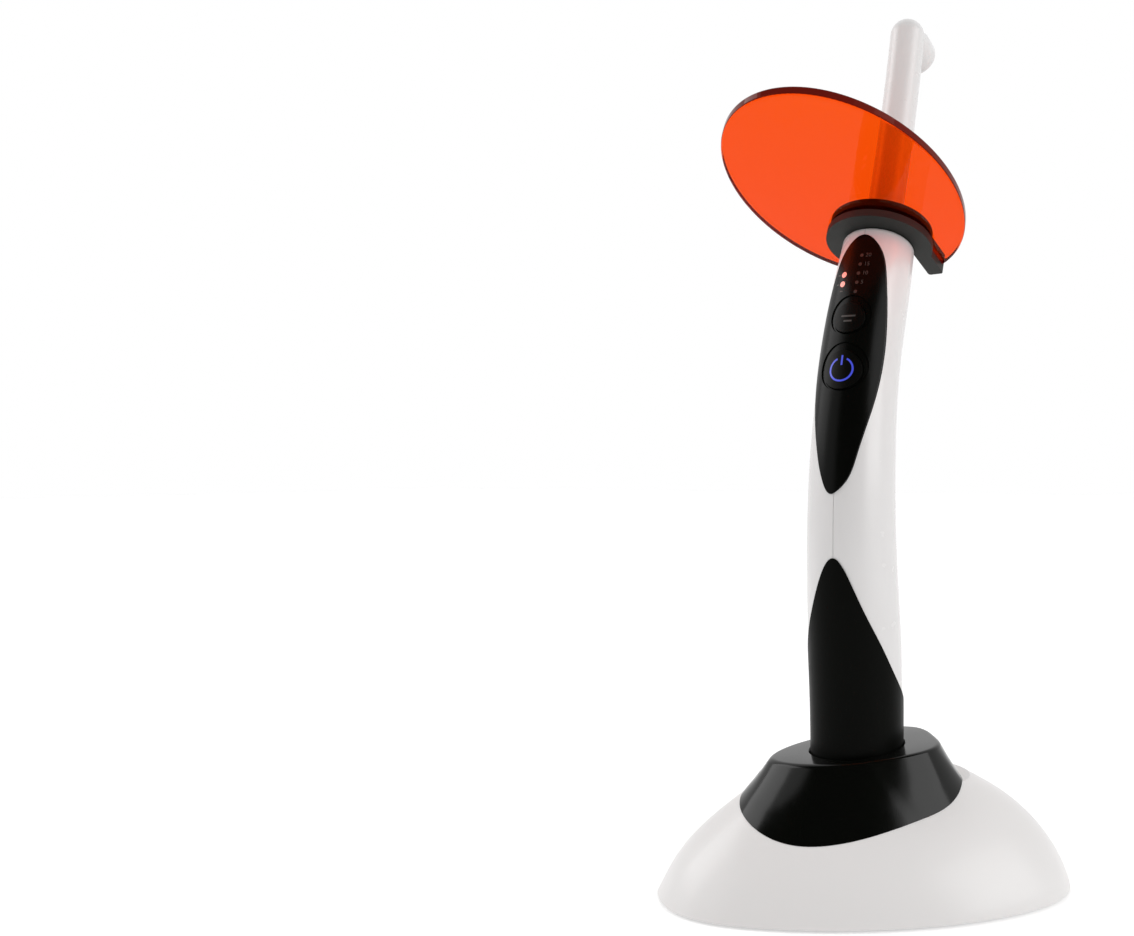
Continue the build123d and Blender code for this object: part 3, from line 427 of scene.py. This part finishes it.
def lay_on(mesh, node):
    """Moves each vertex along +Y onto the front of a node, by the thickness of ink."""
    for vertex in mesh.vertices:
        place = vertex.co
        hit = skin_of(node).ray_cast(Vector((place.x, IN_FRONT, place.z)), Vector((0, 1, 0)))[0]
        if hit is None:
            raise RuntimeError("a printed mark misses " + node)
        vertex.co = Vector((place.x, hit.y - INK_PROUD, place.z))


def printed(name, meshes, node, body):
    """Joins flat marks, lays them on a node and lets them ride with its body."""
    joined = bmesh.new()
    for mesh in meshes:
        joined.from_mesh(mesh)
    bmesh.ops.recalc_face_normals(joined, faces=joined.faces)
    mesh = bpy.data.meshes.new(name)
    joined.to_mesh(mesh)
    joined.free()
    lay_on(mesh, node)
    mesh.materials.append(print_grey)
    piece = in_scene(name, mesh)
    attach(piece, body)


def figure(text, x, z):
    """Flat mesh of a figure, upright in the front view."""
    curve = bpy.data.curves.new("figure", "FONT")
    curve.body = text
    curve.size = FIGURE_HEIGHT
    curve.align_y = "CENTER"
    holder = in_scene("figure", curve)
    mesh = finished(holder)
    mesh.transform(Matrix.Translation((x, 0, z)) @ Matrix.Rotation(pi / 2, 4, "X"))
    bpy.data.objects.remove(holder)
    return mesh


time_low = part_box("time_lamps")[0].z + TIME_LAMP_HALF
figures = [figure(str(5 * i), FIGURE_X, time_low + i * TIME_PITCH) for i in range(1, 5)]
printed("time_figures", figures, "control_panel", "handset")

# Ticks left of the two lit lamps: one short dash repeated up the column by Geometry Nodes, and a bar below.
# Two plain bars, a long and a short one, mark the mode key. All are printed in the ink of the figures.
MODE_LAMP_HALF, TICKS_LEFT = 0.0008, 0.0018
LAMP_BAR, LAMP_BAR_BELOW = (0.0010, 0.0004), 0.0013
LONG_BAR, SHORT_BAR = (0.0042, 0.0005), (0.0024, 0.0005)
KEY_BAR_RISE, KEY_BAR_PITCH = 0.0012, 0.0014
BAR_STEPS = 8


def bar(width, height, x, z):
    """Flat rectangle, divided along its width so that it can follow a curve."""
    mesh = bpy.data.meshes.new("bar")
    across = [x - width / 2 + width * i / BAR_STEPS for i in range(BAR_STEPS + 1)]
    points = [(a, 0, z - height / 2) for a in across] + [(a, 0, z + height / 2) for a in across]
    faces = [(i, i + 1, i + BAR_STEPS + 2, i + BAR_STEPS + 1) for i in range(BAR_STEPS)]
    mesh.from_pydata(points, [], faces)
    return mesh


ticks = bpy.data.node_groups.new("repeated_dash", "GeometryNodeTree")
ticks.is_modifier = True
sizes = {}
for label, kind, value in (("Count", "NodeSocketInt", 2), ("Pitch", "NodeSocketFloat", 0.0028),
                           ("Width", "NodeSocketFloat", 0.0009), ("Height", "NodeSocketFloat", 0.0004),
                           ("Ink", "NodeSocketMaterial", print_grey)):
    sizes[ticks.interface.new_socket(label, in_out="INPUT", socket_type=kind).identifier] = value
ticks.interface.new_socket("Geometry", in_out="OUTPUT", socket_type="NodeSocketGeometry")
given = ticks.nodes.new("NodeGroupInput")
column = ticks.nodes.new("GeometryNodeMeshLine")
column.mode = "OFFSET"
rise = ticks.nodes.new("ShaderNodeCombineXYZ")
dash = ticks.nodes.new("GeometryNodeMeshGrid")
dash.inputs["Vertices X"].default_value = 4
dash.inputs["Vertices Y"].default_value = 2
stand = ticks.nodes.new("GeometryNodeTransform")
stand.inputs["Rotation"].default_value = (pi / 2, 0, 0)
repeat = ticks.nodes.new("GeometryNodeInstanceOnPoints")
real = ticks.nodes.new("GeometryNodeRealizeInstances")
inked = ticks.nodes.new("GeometryNodeSetMaterial")
result = ticks.nodes.new("NodeGroupOutput")
ticks.links.new(given.outputs["Count"], column.inputs["Count"])
ticks.links.new(given.outputs["Pitch"], rise.inputs["Z"])
ticks.links.new(rise.outputs["Vector"], column.inputs["Offset"])
ticks.links.new(given.outputs["Width"], dash.inputs["Size X"])
ticks.links.new(given.outputs["Height"], dash.inputs["Size Y"])
ticks.links.new(dash.outputs["Mesh"], stand.inputs["Geometry"])
ticks.links.new(column.outputs["Mesh"], repeat.inputs["Points"])
ticks.links.new(stand.outputs["Geometry"], repeat.inputs["Instance"])
ticks.links.new(repeat.outputs["Instances"], real.inputs["Geometry"])
ticks.links.new(real.outputs["Geometry"], inked.inputs["Geometry"])
ticks.links.new(given.outputs["Ink"], inked.inputs["Material"])
ticks.links.new(inked.outputs["Geometry"], result.inputs["Geometry"])
holder = in_scene("dashes", bpy.data.meshes.new("dashes"))
grown =holder.modifiers.new("repeated_dash", "NODES")
grown.node_group = ticks
for identifier, value in sizes.items():
    grown[identifier] = value
dashes = finished(holder)
holder.modifiers.remove(grown)
bpy.data.objects.remove(holder)
lit_low, lit_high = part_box("mode_lamps")
lit_x = (lit_low.x + lit_high.x) / 2
dashes.transform(Matrix.Translation((lit_x - TICKS_LEFT, 0, lit_low.z + MODE_LAMP_HALF)))
lamp_bar = bar(*LAMP_BAR, lit_x, lit_low.z - LAMP_BAR_BELOW)
printed("mode_ticks", [dashes, lamp_bar], "control_panel", "handset")
mode_low, mode_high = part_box("mode_button")
long_level = (mode_low.z + mode_high.z) / 2 + KEY_BAR_RISE
key_bars = [bar(*LONG_BAR, 0, long_level), bar(*SHORT_BAR, 0, long_level - KEY_BAR_PITCH)]
printed("mode_marks", key_bars, "mode_button", "mode")

# Studio floor: white paper that runs on far past the object, as for a catalogue picture.
# It looks white to the eye and in glass or gloss, and lights the object at a plainer level.
FLOOR_REACH, FLOOR_LIFT = 4, 0.45


def seen_directly(tree):
    """One where a surface is looked at, also by way of glass or gloss, and zero for the light it gives."""
    path = tree.nodes.new("ShaderNodeLightPath")
    either = tree.nodes.new("ShaderNodeMath")
    either.operation = "MAXIMUM"
    tree.links.new(path.outputs["Is Camera Ray"], either.inputs[0])
    tree.links.new(path.outputs["Is Glossy Ray"], either.inputs[1])
    any_of = tree.nodes.new("ShaderNodeMath")
    any_of.operation = "MAXIMUM"
    tree.links.new(either.outputs[0], any_of.inputs[0])
    tree.links.new(path.outputs["Is Transmission Ray"], any_of.inputs[1])
    return any_of.outputs[0]


floor_mesh = bpy.data.meshes.new("studio_floor")
corners = [(x * FLOOR_REACH, y * FLOOR_REACH, 0) for x, y in ((-1, -1), (1, -1), (1, 1), (-1, 1))]
floor_mesh.from_pydata(corners, [], [(0, 1, 2, 3)])
floor = in_scene("studio_floor", floor_mesh)
floor_white, floor_tree, floor_shader, _ = new_material("floor_white")
floor_shader.inputs["Base Color"].default_value = (0.90, 0.90, 0.90, 1)
floor_shader.inputs["Roughness"].default_value = 0.6
floor_shader.inputs["Emission Color"].default_value = (1, 1, 1, 1)
lift = floor_tree.nodes.new("ShaderNodeMath")
lift.operation = "MULTIPLY"
lift.inputs[1].default_value = FLOOR_LIFT
floor_tree.links.new(seen_directly(floor_tree), lift.inputs[0])
floor_tree.links.new(lift.outputs[0], floor_shader.inputs["Emission Strength"])
floor_mesh.materials.append(floor_white)

# Dark ceiling: a black sheet that comes up behind the camera and over the table, seen only in reflections.
# It keeps the black parts deep where they face it, while the white room at the sides still draws their edges.
VIEW_TURN = radians(23)
SHEET_BENDS, SHEET_SIDES = ((1.6, 0.0), (1.6, 1.6), (-0.15, 1.9)), (-1.6, 1.1)
toward = Vector((sin(VIEW_TURN), -cos(VIEW_TURN), 0))
across_view = Vector((cos(VIEW_TURN), sin(VIEW_TURN), 0))
ceiling_mesh = bpy.data.meshes.new("studio_ceiling")
ceiling_points = [toward * away + across_view * side + Vector((0, 0, height))
                  for away, height in SHEET_BENDS for side in SHEET_SIDES]
ceiling_mesh.from_pydata(ceiling_points, [], [(0, 1, 3, 2), (2, 3, 5, 4)])
ceiling = in_scene("studio_ceiling", ceiling_mesh)
ceiling_black, _, ceiling_shader, _ = new_material("ceiling_black")
ceiling_shader.inputs["Base Color"].default_value = (0.01, 0.01, 0.01, 1)
ceiling_shader.inputs["Roughness"].default_value = 1.0
ceiling_mesh.materials.append(ceiling_black)
ceiling.visible_camera = False
ceiling.visible_diffuse = False
ceiling.visible_transmission = False
ceiling.visible_shadow = False

# Studio surround: a white room, which looks white to the eye and in glass or gloss, as the floor does.
# The light that it gives is plainer than it looks, so the white parts keep their shading.
ROOM_LIGHT, ROOM_LOOK = 0.54, 1.0
world = bpy.data.worlds.new("studio_surround")
scene.world = world
world.use_nodes = True
room = world.node_tree
room.nodes.clear()
room_output = room.nodes.new("ShaderNodeOutputWorld")
pick = room.nodes.new("ShaderNodeMixShader")
room.links.new(seen_directly(room), pick.inputs["Fac"])
for inlet, strength in ((1, ROOM_LIGHT), (2, ROOM_LOOK)):
    backdrop = room.nodes.new("ShaderNodeBackground")
    backdrop.inputs["Color"].default_value = (1, 1, 1, 1)
    backdrop.inputs["Strength"].default_value = strength
    room.links.new(backdrop.outputs[0], pick.inputs[inlet])
room.links.new(pick.outputs[0], room_output.inputs["Surface"])

# Two large square soft lamps, one on each side, aimed at the middle of the object.
# They are alike, so neither side of the white parts is much darker than the other.
LAMP_AIM, LAMP_SIZE, LAMP_POWER = Vector((0, 0, 0.12)), 0.85, 5.0
for name, place in (("left_soft", Vector((-1.05, -0.30, 0.70))), ("right_soft", Vector((1.10, -0.15, 0.60)))):
    light = bpy.data.lights.new(name, "AREA")
    light.size = LAMP_SIZE
    light.energy = LAMP_POWER
    lamp = in_scene(name, light)
    lamp.location = place
    lamp.rotation_euler = (LAMP_AIM - place).to_track_quat("-Z", "Y").to_euler()

# Camera: level, a little to the right of the handset's front.
# Its shift sets the object at the right of the picture, as the photograph does.
IMAGE_WIDTH, FOCAL_PIXELS, SENSOR_WIDTH = 1134, 1112, 36.0
IMAGE_MIDDLE, AXIS_PIXEL = (567, 468), (865, 465)
camera_data = bpy.data.cameras.new("camera")
camera_data.sensor_width = SENSOR_WIDTH
camera_data.lens = FOCAL_PIXELS / IMAGE_WIDTH * SENSOR_WIDTH
camera_data.shift_x = (IMAGE_MIDDLE[0] - AXIS_PIXEL[0]) / IMAGE_WIDTH
camera_data.shift_y = (AXIS_PIXEL[1] - IMAGE_MIDDLE[1]) / IMAGE_WIDTH
camera = in_scene("camera", camera_data)
camera.location = (0.1228, -0.2836, 0.116)
camera.rotation_euler = (pi / 2, 0, VIEW_TURN)
scene.camera = camera
